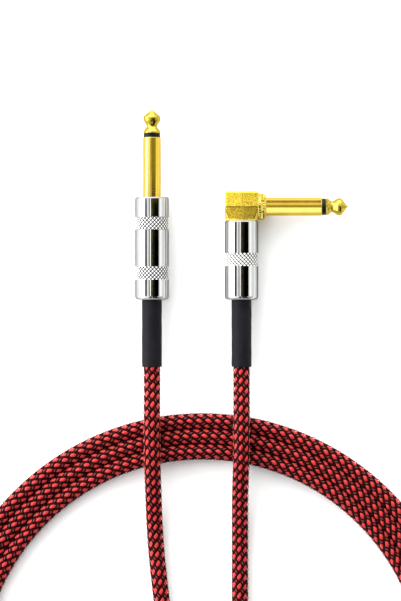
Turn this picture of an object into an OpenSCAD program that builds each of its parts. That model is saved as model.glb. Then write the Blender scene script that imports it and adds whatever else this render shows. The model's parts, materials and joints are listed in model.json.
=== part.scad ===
// Instrument cable: a straight and a right-angle 6.35 mm mono plug on a braided cord.
// Both plugs lie flat on a surface with their axes level; the cord is coiled below them.
// X runs across the two cable ends, Y towards the straight plug's tip, Z up from the surface.

/* [Barrels] */
// Outer diameter of both chromed barrels
barrel_d = 12; // [12:0.1:12.6]
// Length of the straight plug's barrel
straight_barrel_l = 36.6; // [36:0.1:40]
// Length of the right-angle plug's barrel
angled_barrel_l = 28.2; // [28:0.1:32]
// Radius of the rounded rear edge of a barrel
rear_round = 1.2; // [0.4:0.1:1.5]
// Axial length of one knurled band
knurl_l = 4.5; // [3:0.1:6]
// Depth of the knurled band below the barrel's skin
knurl_sink = 0.15; // [0.05:0.05:0.3]

/* [Plug shafts] */
// Diameter of the plug sleeve
sleeve_d = 6.35; // [6.3:0.01:6.4]
// Length of the straight plug's shaft in front of its barrel
straight_shaft_l = 31.4; // [29:0.1:33]
// Length of the right-angle plug's shaft in front of its collar
angled_shaft_l = 29.2; // [28:0.1:32]
// Diameter of the right-angle plug's collar
collar_d = 9.4; // [8.6:0.1:10]
// Length of the right-angle plug's collar
collar_l = 2.9; // [2:0.1:4]

/* [Elbow] */
// Width of the elbow block
elbow_w = 11.8; // [11:0.1:12]
// Height of the elbow above the barrel
elbow_h = 10.4; // [10:0.1:12]
// Height of the shaft's axis above the barrel
elbow_axis_h = 5; // [4.8:0.1:5.4]

/* [Cord] */
// Outer diameter of the braided cord
cord_d = 5.7; // [5.4:0.1:5.8]
// Outer diameter of the shrunk sleeve behind each barrel
heatshrink_d = 7.2; // [7:0.1:7.3]
// Length of that sleeve outside the barrel
heatshrink_show = 24; // [20:1:30]
// Distance between the two cable ends
plug_gap = 32; // [32:1:32]
// Radius of the coil's middle turn
coil_r = 87.2; // [87.2:0.1:87.2]
// Distance between neighbouring turns
turn_gap = 5.4; // [5.2:0.1:5.7]
// Width of the strap that holds the coil
tie_w = 12; // [8:1:20]

/* [Hidden] */

$fn = 96;
eps = 0.01;          // overrun of a cut past the face it opens
seat_gap = 0.05;     // air between a seated barrel and its stop

// Layout. The origin is under the middle of the two plugs, on the surface.
axis_z = barrel_d / 2;
straight_x = -plug_gap;
angled_x = 0;
half_depth = (heatshrink_show + straight_barrel_l + straight_shaft_l) / 2;
barrel_rear_y = heatshrink_show - half_depth;
straight_front_y = barrel_rear_y + straight_barrel_l;
angled_front_y = barrel_rear_y + angled_barrel_l;
side_axis_y = angled_front_y + elbow_axis_h;
collar_face_x = angled_x + elbow_w / 2 + collar_l;
heatshrink_end_y = barrel_rear_y - heatshrink_show;

// Barrel bores
stub_r = 4.7;
thread_bore_r = stub_r + 0.05;
chamber_r = 5;
mouth_l = 1.5;
front_chamfer = 0.4;
rear_wall = 3.2;
exit_r = heatshrink_d / 2 + 0.3;
straight_stub_l = 9;
angled_stub_l = 7.5;
straight_knurls = [7.1, 24.9];
angled_knurls = [11.6];
thread_pitch = 0.75;
thread_depth = 0.3;
thread_lead = 0.4;     // plain run before a stub's first groove

// Plug shaft: shares of the shaft's length, and radii
sleeve_share = 0.68;
ring_share = 0.05;
sleeve_bore_r = 2.35;
tube_r = 2.3;
rod_bore_r = 1.25;
rod_r = 1.2;
rivet_r = 1.7;
rivet_l = 0.6;
lug_t = 0.5;
ring_r = 2.95;

// Ball end of the tip: radii, and heights as shares of its length in front of the ring
flange_r = 3.05;
flange_l = 0.6;
neck_r = 1.9;
ball_r = 3.1;
neck_share = 0.28;
ball_share = 0.58;
shoulder_share = 0.71;

// Elbow
stem_r = 3.4;
stem_l = 3.1;
elbow_chamber_r = 3.3;
elbow_base_l = 0.6;
facet_h = 4.85;
facet_inset = 1.6;
elbow_chamfer = 0.5;

// Rear insulating washers
straight_washer_r = 2.8;
straight_washer_t = 1;
straight_washer_boss_r = 1.9;
angled_washer_r = 3.2;
angled_washer_t = 0.8;

// Solder lugs and solder
eye_r = 2.3;
tongue_w = 2.2;
straight_tongue_l = 7;
angled_tongue_l = elbow_axis_h + 14;
ground_eye_r = 3.9;
ground_tongue_w = 3.2;
straight_ground_hole_r = 2;
angled_ground_hole_r = 3;
clamp_slot_w = 1.5;
solder_r = 1;

// Cable layers
jacket_r = cord_d / 2;
shield_r = 1.78;
dielectric_r = 1.3;
wire_r = 0.5;
tail_r = 0.45;
straight_jacket_z = -22;
angled_jacket_z = -17.5;
straight_wire_side = 1.3;
angled_wire_side = 1;
clamp_r = 3.4;
clamp_l = 4;
clamp_back = 6;
ground_tongue_y = 2.95;
layer_gap = 0.02;      // air between two layers of the cable
jacket_gap = 0.05;     // air round the jacket in its shrunk sleeve

// Heights of the stripped cable above the jacket's end
shield_cut = 1;
dielectric_cut = 2.5;
wire_bend = 2.7;
wire_over = 4.6;
wire_end = 9;
tail_y = 2.45;
tail_start = 0.5;
tail_over = 2.4;
tail_end = 7;

// Loose insulating liners
liner_r = 4.65;
liner_bore_r = 4.2;
liner_rear_gap = 0.2;
liner_front_gap = 0.9;

// Coil of three concentric turns that meet side by side, held 0.6 mm up by its strap
coil_centre = [-14, -158];
strap_t = 0.6;
turn_radii = [coil_r - turn_gap, coil_r, coil_r + turn_gap];
coil_z = strap_t + cord_d / 2;
strap_room = 0.3;

// Cord routes, from each shrunk sleeve over the coil's top edge to the turn that it joins
straight_route = [
    [-32, -46, 6], [-32, -50, 6], [-32, -56, 7.4], [-32, -62, 8.9], [-32, -71, 9.4],
    [-31.8, -80, 8.9], [-31.5, -90, 6.4], [-31.2, -100, 4], [-30.5, -112, 2.9],
    [-29, -126, 2.9], [-27, -142, 2.9], [-25, -160, 2.9], [-23.5, -178, 2.9], [-23.5, -194, 2.9],
    [-28, -208, 2.9], [-38, -218, 3.1], [-53, -222, 3.3], [-67, -218.5, 3.45],
    [-75.5, -212, 3.45]
];
angled_route = [
    [0, -46, 6], [0, -50, 6], [0, -56, 7.4], [0, -62, 8.9], [0, -71, 9.4],
    [0, -80, 8.9], [-0.5, -90, 6.4], [-0.5, -100, 4], [-0.5, -112, 2.9], [-0.5, -130, 2.9],
    [-0.5, -148, 2.9], [-0.5, -166, 2.9], [-0.5, -184, 2.9], [0, -199, 3.2],
    [4.5, -214.5, 4.8], [15.5, -225.5, 7.4], [23.5, -229, 9], [32, -230, 9.4],
    [40, -228.5, 9.2], [48, -225, 8.6], [56, -219, 7.6], [61, -212.5, 6.8],
    [68, -201.5, 5.4], [73, -189.5, 4.2], [76.5, -177.5, 3.6], [78, -166, 3.45]
];
tube_sides = 10;

// ---- Placing ----

// Local +Z runs along the straight plug, from its barrel's front face.
module on_straight() {
    translate([straight_x, straight_front_y, axis_z]) rotate([-90, 0, 0]) children();
}

// Local +Z runs up the right-angle plug's barrel, from its front face.
module on_angled() {
    translate([angled_x, angled_front_y, axis_z]) rotate([-90, 0, 0]) children();
}

// As on_angled, turned so that the cable's wire leans towards the side plug.
module on_angled_cable() {
    on_angled() rotate([0, 0, 90]) children();
}

// Local +Z runs along the side plug, from its collar's outer face.
module on_side() {
    translate([collar_face_x, side_axis_y, axis_z]) rotate([0, 90, 0]) children();
}

// ---- Shapes that both plugs use ----

module tube(outer, inner, low, high) {
    difference() {
        translate([0, 0, low]) cylinder(r = outer, h = high - low);
        translate([0, 0, low - eps]) cylinder(r = inner, h = high - low + 2 * eps);
    }
}

function unit(v) = v / norm(v);

// Direction of a route at point i, the mean of the steps on its two sides.
function heading(route, i) =
    unit(route[min(i + 1, len(route) - 1)] - route[max(i - 1, 0)]);

// One ring of points square to the route at point i; the route never runs along up.
function ring(route, i, r, sides, up) =
    let (along = heading(route, i), side = unit(cross(along, up)), rise = cross(side, along))
    [for (k = [0:sides - 1]) let (a = 360 * k / sides)
        route[i] + r * (cos(a) * side + sin(a) * rise)];

// Closed round tube along a route of points.
module swept_tube(route, r, sides, up) {
    last = len(route) - 1;
    walls = [for (i = [0:last - 1]) for (k = [0:sides - 1]) let (n = (k + 1) % sides)
        [i * sides + k, i * sides + n, (i + 1) * sides + n, (i + 1) * sides + k]];
    start = [for (k = [sides - 1:-1:0]) k];
    finish = [for (k = [0:sides - 1]) last * sides + k];
    polyhedron(
        points = [for (i = [0:last]) each ring(route, i, r, sides, up)],
        faces = concat(walls, [start, finish])
    );
}

// Half a cosine wave, from 0 at u = 0 to 1 at u = 1.
function swell(u) = (1 - cos(180 * u)) / 2;

// A ball end: flange, waisted neck, ball and cone, as [radius, height].
function tip_points(l) = concat(
    [[0, 0], [flange_r - 0.1, 0], [flange_r, 0.1], [flange_r, flange_l]],
    [for (u = [0:0.125:1]) [
        neck_r + (flange_r - 0.15 - neck_r) * (1 - swell(u)),
        flange_l + u * (neck_share * l - flange_l)
    ]],
    [for (u = [0.125:0.125:1]) [
        neck_r + (ball_r - neck_r) * swell(u),
        (neck_share + (ball_share - neck_share) * u) * l
    ]],
    [[ball_r, shoulder_share * l - 0.3], [ball_r - 0.12, shoulder_share * l]],
    [[0.35, 0.965 * l], [0.2, 0.99 * l], [0, l]]
);

// Tip, centre rod and riveted rear end in one piece.
module tip_contact(shaft_l, rod_rear) {
    base = shaft_l * (sleeve_share + ring_share);
    color("gold") union() {
        translate([0, 0, base]) rotate_extrude() polygon(tip_points(shaft_l - base));
        translate([0, 0, rod_rear]) cylinder(r = rod_r, h = base - rod_rear + eps);
        translate([0, 0, rod_rear]) cylinder(r = rivet_r, h = rivet_l);
    }
}

module tip_insulator(shaft_l) {
    color("black")
        tube(ring_r, rod_bore_r, shaft_l * sleeve_share, shaft_l * (sleeve_share + ring_share));
}

module insulator_tube(shaft_l, rear) {
    color("ivory") tube(tube_r, rod_bore_r, rear, shaft_l * sleeve_share);
}

// A screwed stub with ring-shaped thread crests, from z = -l up to z = top.
module threaded_stub(l, top) {
    first = -l + thread_lead;
    count = floor((l - 2) / thread_pitch);
    grooves = [for (i = [0:count - 1]) each [
        [stub_r, first + i * thread_pitch],
        [stub_r - thread_depth, first + (i + 0.5) * thread_pitch]
    ]];
    rotate_extrude() polygon(concat(
        [[0, -l], [stub_r, -l]],
        grooves,
        [[stub_r, first + count * thread_pitch], [stub_r, top], [0, top]]
    ));
}

// Outline of a barrel as [radius, height], with its knurled bands sunk a little.
function barrel_points(l, knurls) = concat(
    [[0, -l]],
    [for (a = [0:15:90]) [
        barrel_d / 2 - rear_round * (1 - sin(a)),
        -l + rear_round * (1 - cos(a))
    ]],
    [for (i = [len(knurls) - 1:-1:0]) each [
        [barrel_d / 2, -knurls[i] - knurl_l],
        [barrel_d / 2 - knurl_sink, -knurls[i] - knurl_l + knurl_sink],
        [barrel_d / 2 - knurl_sink, -knurls[i] - knurl_sink],
        [barrel_d / 2, -knurls[i]]
    ]],
    [[barrel_d / 2, -front_chamfer], [barrel_d / 2 - front_chamfer, 0], [0, 0]]
);

// Bored barrel: thread behind the mouth, a wider chamber, and the cable's exit.
module barrel(l, knurls, thread_l) {
    color("silver") difference() {
        rotate_extrude() polygon(barrel_points(l, knurls));
        translate([0, 0, -thread_l]) cylinder(r = thread_bore_r, h = thread_l + eps);
        translate([0, 0, rear_wall - l]) cylinder(r = chamber_r, h = l - rear_wall - thread_l + eps);
        translate([0, 0, -l - eps]) cylinder(r = exit_r, h = rear_wall + 2 * eps);
    }
}

module liner(l, stub_l) {
    color("ghostwhite")
        tube(liner_r, liner_bore_r, rear_wall - l + liner_rear_gap, -stub_l - liner_front_gap);
}

module heatshrink(l, front) {
    color("dimgray") tube(heatshrink_d / 2, jacket_r + jacket_gap, -l - heatshrink_show, front);
}

module jacket_end(l, front) {
    color("firebrick") tube(jacket_r, shield_r + layer_gap, -l - heatshrink_show, front);
}

module dielectric(l, jacket_z) {
    color("white")
        tube(dielectric_r, wire_r + layer_gap, -l - heatshrink_show, jacket_z + dielectric_cut);
}

// The copper core leaves the dielectric and leans over to the tip lug.
module centre_wire(l, jacket_z, side) {
    color("peru") swept_tube([
        [0, 0, -l - heatshrink_show], [0, 0, jacket_z + wire_bend],
        [0, -side, jacket_z + wire_over], [0, -side, jacket_z + wire_end]
    ], wire_r, 8, [1, 0, 0]);
}

// Braided shield, with its strands twisted into a tail along the ground lug.
module shield_tail(l, jacket_z) {
    color("peru") union() {
        tube(shield_r, dielectric_r + layer_gap, -l - heatshrink_show, jacket_z + shield_cut);
        swept_tube([
            [0, shield_r, jacket_z + tail_start],
            [0, tail_y, jacket_z + tail_over], [0, tail_y, jacket_z + tail_end]
        ], tail_r, 8, [1, 0, 0]);
    }
}

module solder(side, z) {
    color("lightgray") translate([0, side, z]) sphere(r = solder_r);
}

// Ring behind the stub, tongue under the cable, and a clamp crimped on the jacket.
module ground_lug(stub_l, hole_r, jacket_z) {
    clamp_low = jacket_z - clamp_back;
    color("darkgoldenrod") union() {
        tube(ground_eye_r, hole_r, -stub_l - lug_t, -stub_l);
        translate([-ground_tongue_w / 2, ground_tongue_y, clamp_low])
            cube([ground_tongue_w, lug_t, -stub_l - clamp_low]);
        difference() {
            tube(clamp_r, jacket_r + 0.03, clamp_low, clamp_low + clamp_l);
            translate([-clamp_slot_w / 2, -clamp_r - eps, clamp_low - eps])
                cube([clamp_slot_w, clamp_r, clamp_l + 2 * eps]);
        }
    }
}

// ---- Straight plug ----

straight_lug_z = -straight_stub_l - lug_t - straight_washer_t;

module straight_tip_contact() {
    on_straight() tip_contact(straight_shaft_l, straight_lug_z - lug_t - rivet_l);
}

module straight_tip_insulator() {
    on_straight() tip_insulator(straight_shaft_l);
}

module straight_insulator_tube() {
    on_straight() insulator_tube(straight_shaft_l, -straight_stub_l);
}

module straight_ground_sleeve() {
    color("gold") on_straight() difference() {
        union() {
            cylinder(d = sleeve_d, h = straight_shaft_l * sleeve_share);
            translate([0, 0, -mouth_l]) cylinder(r = chamber_r - 0.05, h = mouth_l);
            threaded_stub(straight_stub_l, -mouth_l / 2);
        }
        translate([0, 0, -straight_stub_l - eps])
            cylinder(r = sleeve_bore_r, h = straight_stub_l + straight_shaft_l);
    }
}

module straight_rear_washer() {
    color("saddlebrown") on_straight() difference() {
        union() {
            translate([0, 0, straight_lug_z])
                cylinder(r = straight_washer_r, h = straight_washer_t);
            translate([0, 0, straight_lug_z])
                cylinder(r = straight_washer_boss_r, h = straight_washer_t + lug_t);
        }
        translate([0, 0, straight_lug_z - eps])
            cylinder(r = rod_bore_r, h = straight_washer_t + lug_t + 2 * eps);
    }
}

// An eye on the straight plug's rod, and a tongue down one side of the cable's core.
module straight_tip_lug() {
    tongue_y = -straight_wire_side - wire_r - lug_t;
    color("gold") on_straight() difference() {
        union() {
            translate([0, 0, straight_lug_z - lug_t]) cylinder(r = eye_r, h = lug_t);
            translate([-tongue_w / 2, tongue_y, straight_lug_z - straight_tongue_l])
                cube([tongue_w, lug_t, straight_tongue_l]);
        }
        translate([0, 0, straight_lug_z - lug_t - eps])
            cylinder(r = rod_bore_r, h = lug_t + 2 * eps);
    }
}

module straight_ground_lug() {
    on_straight() ground_lug(straight_stub_l, straight_ground_hole_r, straight_jacket_z);
}

module straight_centre_wire() {
    on_straight() centre_wire(straight_barrel_l, straight_jacket_z, straight_wire_side);
}

module straight_dielectric() {
    on_straight() dielectric(straight_barrel_l, straight_jacket_z);
}

module straight_shield_tail() {
    on_straight() shield_tail(straight_barrel_l, straight_jacket_z);
}

module straight_tip_solder() {
    on_straight() solder(-straight_wire_side, straight_jacket_z + 7);
}

module straight_ground_solder() {
    on_straight() solder(ground_tongue_y - tail_r, straight_jacket_z + 5.5);
}

module straight_jacket_end() {
    on_straight() jacket_end(straight_barrel_l, straight_jacket_z);
}

module straight_heatshrink() {
    on_straight() heatshrink(straight_barrel_l, straight_jacket_z - clamp_back - 1);
}

module straight_liner() {
    on_straight() liner(straight_barrel_l, straight_stub_l);
}

module straight_barrel() {
    color("silver") on_straight() difference() {
        barrel(straight_barrel_l, straight_knurls, straight_stub_l);
        translate([0, 0, -mouth_l - seat_gap]) cylinder(r = chamber_r, h = mouth_l + seat_gap + eps);
    }
}

// ---- Right-angle plug ----

angled_rod_rear = -collar_l - stem_l - angled_washer_t - lug_t - rivet_l;

module angled_tip_contact() {
    on_side() tip_contact(angled_shaft_l, angled_rod_rear);
}

module angled_tip_insulator() {
    on_side() tip_insulator(angled_shaft_l);
}

module angled_insulator_tube() {
    on_side() insulator_tube(angled_shaft_l, -collar_l - stem_l);
}

// Turned collar with a rounded outer edge, a stem pressed into the elbow, and the sleeve.
module angled_ground_sleeve() {
    edge = 1.2;
    color("gold") on_side() difference() {
        union() {
            cylinder(d = sleeve_d, h = angled_shaft_l * sleeve_share);
            rotate_extrude() polygon(concat(
                [[0, -collar_l], [collar_d / 2, -collar_l]],
                [for (a = [0:15:90]) [collar_d / 2 - edge * (1 - cos(a)), edge * (sin(a) - 1)]],
                [[0, 0]]
            ));
            translate([0, 0, -collar_l - stem_l]) cylinder(r = stem_r, h = stem_l + eps);
        }
        translate([0, 0, -collar_l - stem_l - eps])
            cylinder(r = sleeve_bore_r, h = angled_shaft_l + collar_l + stem_l);
    }
}

module angled_rear_washer() {
    rear = -collar_l - stem_l - angled_washer_t;
    color("saddlebrown") on_side()
        tube(angled_washer_r, rod_bore_r, rear, rear + angled_washer_t);
}

// Flat strip: an eye on the side plug's rod, and a tongue down the barrel's axis.
module angled_tip_lug() {
    rear = angled_rod_rear + rivet_l;
    color("gold") on_side() difference() {
        union() {
            translate([0, 0, rear]) cylinder(r = eye_r, h = lug_t);
            translate([-tongue_w / 2, -angled_tongue_l, rear])
                cube([tongue_w, angled_tongue_l, lug_t]);
        }
        translate([0, 0, rear - eps]) cylinder(r = rod_bore_r, h = lug_t + 2 * eps);
    }
}

// Block with a sloped facet front and back, corners blended to round by a cone, and a stub.
module angled_elbow() {
    half = elbow_w / 2;
    corner = half * sqrt(2);
    top = elbow_h;
    color("gold") on_angled() difference() {
        union() {
            threaded_stub(angled_stub_l, elbow_base_l);
            translate([0, 0, seat_gap]) cylinder(r = half, h = elbow_base_l - seat_gap + eps);
            intersection() {
                rotate([90, 0, 0]) linear_extrude(elbow_w, center = true) polygon([
                    [-half, elbow_base_l], [half, elbow_base_l], [half, top - elbow_chamfer],
                    [half - elbow_chamfer, top], [elbow_chamfer - half, top],
                    [-half, top - elbow_chamfer]
                ]);
                rotate([90, 0, 90]) linear_extrude(elbow_w, center = true) polygon([
                    [facet_inset - half, elbow_base_l], [half - facet_inset, elbow_base_l],
                    [half, facet_h], [half, top - elbow_chamfer], [half - elbow_chamfer, top],
                    [elbow_chamfer - half, top], [-half, top - elbow_chamfer], [-half, facet_h]
                ]);
                union() {
                    translate([0, 0, elbow_base_l])
                        cylinder(r1 = half + 0.05, r2 = corner, h = facet_h - elbow_base_l);
                    translate([0, 0, facet_h]) cylinder(r = corner, h = top);
                }
            }
        }
        translate([0, 0, -angled_stub_l - eps])
            cylinder(r = elbow_chamber_r, h = angled_stub_l + elbow_axis_h + 3);
        translate([1.9, 0, elbow_axis_h]) rotate([0, 90, 0]) cylinder(r = stem_r + 0.02, h = half);
    }
}

module angled_ground_lug() {
    on_angled_cable() ground_lug(angled_stub_l, angled_ground_hole_r, angled_jacket_z);
}

module angled_centre_wire() {
    on_angled_cable() centre_wire(angled_barrel_l, angled_jacket_z, angled_wire_side);
}

module angled_dielectric() {
    on_angled_cable() dielectric(angled_barrel_l, angled_jacket_z);
}

module angled_shield_tail() {
    on_angled_cable() shield_tail(angled_barrel_l, angled_jacket_z);
}

module angled_tip_solder() {
    on_angled_cable() solder(-angled_wire_side, angled_jacket_z + 6.5);
}

module angled_ground_solder() {
    on_angled_cable() solder(ground_tongue_y - tail_r, angled_jacket_z + 5.5);
}

module angled_jacket_end() {
    on_angled_cable() jacket_end(angled_barrel_l, angled_jacket_z);
}

module angled_heatshrink() {
    on_angled_cable() heatshrink(angled_barrel_l, angled_jacket_z - clamp_back - 1);
}

module angled_liner() {
    on_angled_cable() liner(angled_barrel_l, angled_stub_l);
}

module angled_barrel() {
    on_angled() barrel(angled_barrel_l, angled_knurls, angled_stub_l);
}

// ---- Cord ----

module cord_leg_straight() {
    color("firebrick") swept_tube(straight_route, cord_d / 2, tube_sides, [0, 0, 1]);
}

module cord_leg_angled() {
    color("firebrick") swept_tube(angled_route, cord_d / 2, tube_sides, [0, 0, 1]);
}

module cord_coil() {
    color("firebrick") translate([coil_centre[0], coil_centre[1], coil_z]) rotate_extrude()
        for (r = turn_radii) translate([r, 0]) circle(d = cord_d);
}

// Strap round the three turns at the coil's left side, with its end lapped on top.
module cord_tie() {
    inner_w = 2 * turn_gap + cord_d + 2 * strap_room;
    color("black") translate([coil_centre[0] - coil_r, coil_centre[1], 0]) rotate([90, 0, 0])
        linear_extrude(tie_w, center = true) difference() {
            union() {
                translate([-inner_w / 2 - strap_t, 0]) square([inner_w + 2 * strap_t, cord_d + 2 * strap_t]);
                translate([-inner_w / 4, cord_d + 2 * strap_t - eps]) square([inner_w / 2, strap_t]);
            }
            translate([-inner_w / 2, strap_t]) square([inner_w, cord_d]);
        }
}

straight_tip_contact();
straight_tip_insulator();
straight_insulator_tube();
straight_ground_sleeve();
straight_rear_washer();
straight_tip_lug();
straight_ground_lug();
straight_centre_wire();
straight_dielectric();
straight_shield_tail();
straight_tip_solder();
straight_ground_solder();
straight_jacket_end();
straight_heatshrink();
straight_liner();
straight_barrel();
angled_tip_contact();
angled_tip_insulator();
angled_insulator_tube();
angled_ground_sleeve();
angled_rear_washer();
angled_tip_lug();
angled_elbow();
angled_ground_lug();
angled_centre_wire();
angled_dielectric();
angled_shield_tail();
angled_tip_solder();
angled_ground_solder();
angled_jacket_end();
angled_heatshrink();
angled_liner();
angled_barrel();
cord_leg_straight();
cord_coil();
cord_leg_angled();
cord_tie();
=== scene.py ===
"""Looks of a braided instrument cable with a straight and a right-angle plug, coiled and tied.

Shapes are worked out in millimetres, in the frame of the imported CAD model, and become metres
when a mesh is made: X runs across the two cable ends, Y towards the straight plug's tip and Z
up from the surface that the cable lies on.
"""

import json
import math

import bpy
import numpy as np
from mathutils import Matrix

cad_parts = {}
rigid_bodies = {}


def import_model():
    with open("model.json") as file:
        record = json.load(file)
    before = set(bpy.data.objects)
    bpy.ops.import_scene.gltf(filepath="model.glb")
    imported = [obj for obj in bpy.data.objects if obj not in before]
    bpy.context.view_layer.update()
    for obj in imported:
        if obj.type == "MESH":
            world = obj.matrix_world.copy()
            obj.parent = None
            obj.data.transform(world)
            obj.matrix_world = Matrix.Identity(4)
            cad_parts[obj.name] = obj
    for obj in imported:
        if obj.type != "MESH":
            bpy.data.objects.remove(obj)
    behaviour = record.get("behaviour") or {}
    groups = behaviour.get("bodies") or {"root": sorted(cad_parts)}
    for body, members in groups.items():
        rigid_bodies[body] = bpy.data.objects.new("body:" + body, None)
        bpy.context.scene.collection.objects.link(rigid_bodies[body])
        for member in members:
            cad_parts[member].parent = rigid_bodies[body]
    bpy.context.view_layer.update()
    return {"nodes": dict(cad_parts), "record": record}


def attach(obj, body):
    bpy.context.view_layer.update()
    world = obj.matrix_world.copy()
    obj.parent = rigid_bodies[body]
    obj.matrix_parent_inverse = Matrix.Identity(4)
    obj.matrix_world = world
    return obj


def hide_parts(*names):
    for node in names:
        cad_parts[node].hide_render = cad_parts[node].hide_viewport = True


MM = 0.001
TURN = 2 * math.pi

# Camera: straight above the plugs, with a long lens
VIEW_CENTRE = (-14.64, -22.3)
VIEW_HEIGHT = 214.64
CAMERA_ABOVE_AXES = 1500.0
SENSOR = 36.0

# Layout, as in the CAD part. A rod's rear end is a height on its shaft's own axis.
AXIS_Z = 6.0
STRAIGHT_X = -32.0
STRAIGHT_FRONT_Y = 14.6
STRAIGHT_BARREL = 36.6
STRAIGHT_SHAFT = 31.4
STRAIGHT_STUB = 9.0
STRAIGHT_ROD_REAR = -11.6
ANGLED_FRONT_Y = 6.2
ANGLED_BARREL = 28.2
ANGLED_SHAFT = 29.2
ANGLED_STUB = 7.5
ANGLED_ROD_REAR = -7.9
SIDE_AXIS_Y = 11.2
COLLAR_FACE_X = 8.8

# Barrels: a wide mouth lies in front of the straight one's thread, and THREAD_FRONT is where the
# angled one's starts. Knurl places are how far behind the front a band starts, and the cross cut is
# how deep its second set of grooves is beside the first. Plain walls keep a gap from a band.
BARREL_R = 6.0
REAR_ROUND = 1.2
FRONT_CHAMFER = 0.4
REAR_WALL = 3.2
EXIT_R = 3.9
CHAMBER_R = 5.0
THREAD_BORE_R = 4.75
MOUTH = 1.55
THREAD_FRONT = 0.4
KNURL_LENGTH = 4.5
KNURL_STARTS = 27
KNURL_DEPTH = 0.26
KNURL_FLAT = 0.36
KNURL_CROSS_CUT = {"straight": 1.0, "angled": 0.8}
SAMPLES_PER_KNURL = 10
STRAIGHT_KNURLS = (7.1, 24.9)
ANGLED_KNURLS = (11.6,)
BAND_GAP = 0.05
LONG_STEP = 3.0

# Threads, and the flange in front of the straight plug's
STUB_R = 4.7
PITCH = 0.75
THREAD_DEPTH = 0.28
THREAD_STEP = PITCH / 8
STUB_FLANGE_R = 4.95
STUB_FLANGE_LENGTH = 1.5

# Shafts: the sleeve and the insulating ring as shares of the length, and the tip's rod and rivet
SLEEVE_R = 3.175
SLEEVE_BORE_R = 2.35
SLEEVE_SHARE = 0.68
RING_SHARE = 0.05
RING_R = 2.95
ROD_R = 1.2
RIVET_R = 1.7
RIVET_LENGTH = 0.6

# Ball end of a tip: radii, heights as shares of its length in front of the ring, and its point as
# (radius, share)
FLANGE_R = 3.05
FLANGE_LENGTH = 0.6
NECK_R = 1.9
BALL_R = 3.1
NECK_SHARE = 0.28
BALL_SHARE = 0.58
SHOULDER_SHARE = 0.71
POINT = ((0.42, 0.955), (0.3, 0.98), (0.15, 0.995))

# Elbow, its parting line, and the ribbed collar with the stem that is pressed into the elbow
ELBOW_HALF = 5.9
ELBOW_HEIGHT = 10.4
ELBOW_BASE = 0.6
FACET_HEIGHT = 4.85
FACET_INSET = 1.6
ELBOW_CHAMFER = 0.5
ELBOW_DRAFT = 0.06
ELBOW_BORE_R = 3.3
EDGE_SHARPNESS = 34
ELBOW_SEGMENTS = 480
PARTING_X = 0.3
PARTING_HALF = 0.16
PARTING_DEPTH = 0.09
# Painted shade: width of the dark bands painted along the elbow's edges and fold, their strength above
# the facets, and how dark the parting line is painted
CREASE_SHADE_WIDTH = 0.17
FAINT_CREASE_SHADE = 0.25
SEAM_SHADE = 0.7
COLLAR_R = 4.7
COLLAR_LENGTH = 2.9
COLLAR_EDGE = 1.2
COLLAR_RIBS = 32
RIB_DEPTH = 0.2
STEM_R = 3.4
STEM_LENGTH = 3.1

# Shrunk sleeves, and the height on its barrel's axis where each one starts
SHRINK_R = 3.6
SHRINK_LENGTH = 24.0
SHRINK_STARTS = {"straight": -29.0, "angled": -24.5}
SHRINK_RIPPLE = 0.035

# Cord: its two ends run straight into the sleeves. The coil is a spiral by angle in degrees, which
# goes over to the next turn in each of TURN_SHIFTS.
CORD_D = 5.7
CORD_INSIDE = 4.0
CORD_END_GAP = 1.7
CORD_SPACING = 1.0
SMOOTHING_PASSES = 30
COIL_CENTRE = (-14.0, -158.0)
COIL_R = (81.8, 87.2, 92.6)
COIL_Z = 3.45
COIL_START = 221.0
COIL_END = -725.0
COIL_STEP = 4.0
TURN_SHIFTS = ((-74.0, -132.0), (-434.0, -492.0))
STRAIGHT_ROUTE = [
    (-32, -46, 6), (-32, -50, 6), (-32, -56, 7.4), (-32, -62, 8.9), (-32, -71, 9.4),
    (-31.8, -80, 8.9), (-31.5, -90, 6.4), (-31.2, -100, 4), (-30.5, -112, 2.9),
    (-29, -126, 2.9), (-27, -142, 2.9), (-25, -160, 2.9), (-23.5, -178, 2.9),
    (-23.5, -194, 2.9), (-28, -208, 2.9), (-38, -218, 3.1), (-53, -222, 3.3),
    (-67, -218.5, 3.45),
]
ANGLED_ROUTE = [
    (0, -46, 6), (0, -50, 6), (0, -56, 7.4), (0, -62, 8.9), (0, -71, 9.4),
    (0, -80, 8.9), (-0.5, -90, 6.4), (-0.5, -100, 4), (-0.5, -112, 2.9),
    (-0.5, -130, 2.9), (-0.5, -148, 2.9), (-0.5, -166, 2.9), (-0.5, -184, 2.9),
    (0, -199, 3.2), (4.5, -214.5, 4.8), (15.5, -225.5, 7.4), (23.5, -229, 9),
    (32, -230, 9.4), (40, -228.5, 9.2), (48, -225, 8.6), (56, -219, 7.6),
    (61, -212.5, 6.8), (68, -201.5, 5.4), (73, -189.5, 4.2), (76.5, -177.5, 3.6),
]

# Braid: eight columns of lozenges on a helix, one yarn over one, each lozenge a small grid
COLUMNS = 8
BRAID_PITCH = 3.36
BRAID_LEAN = 1 / 16
FIRST_ANGLE = math.radians(-5.6)
FIRST_DISTANCE = 1.2
LENGTH_POINTS = 6
WIDTH_POINTS = 4
YARN_MID_R = 2.84
YARN_WAVE = 0.22
YARN_ROUNDING = 0.34
RED_HALF = (0.96, 0.66)
BLACK_HALF = (1.55, 0.74)
YARN_TAPER = 0.2
CORE_R = 2.55
CORE_SIDES = 10

# Yarn UVs: each lozenge has a cell of its own, so many mm long, and the half size of the painted
# highlight on each black lozenge is given in shares of a cell
UV_STEP = 4.0
UV_ROWS = 97
PAINTED_GLINT_HALF = (0.15, 0.08)

# Tie: a strap round the three turns, which climbs onto its own start between two distances from it
TIE_WIDTH = 12.0
TIE_THICKNESS = 0.6
TIE_LAP = 7.0
TIE_CLIMB = (-4, 1)
TIE_STEP = 0.2
TIE_COLUMNS = 61
WEAVE_PITCH = 0.8
WEAVE_DEPTH = 0.05
WEAVE_INSET = 0.06

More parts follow.
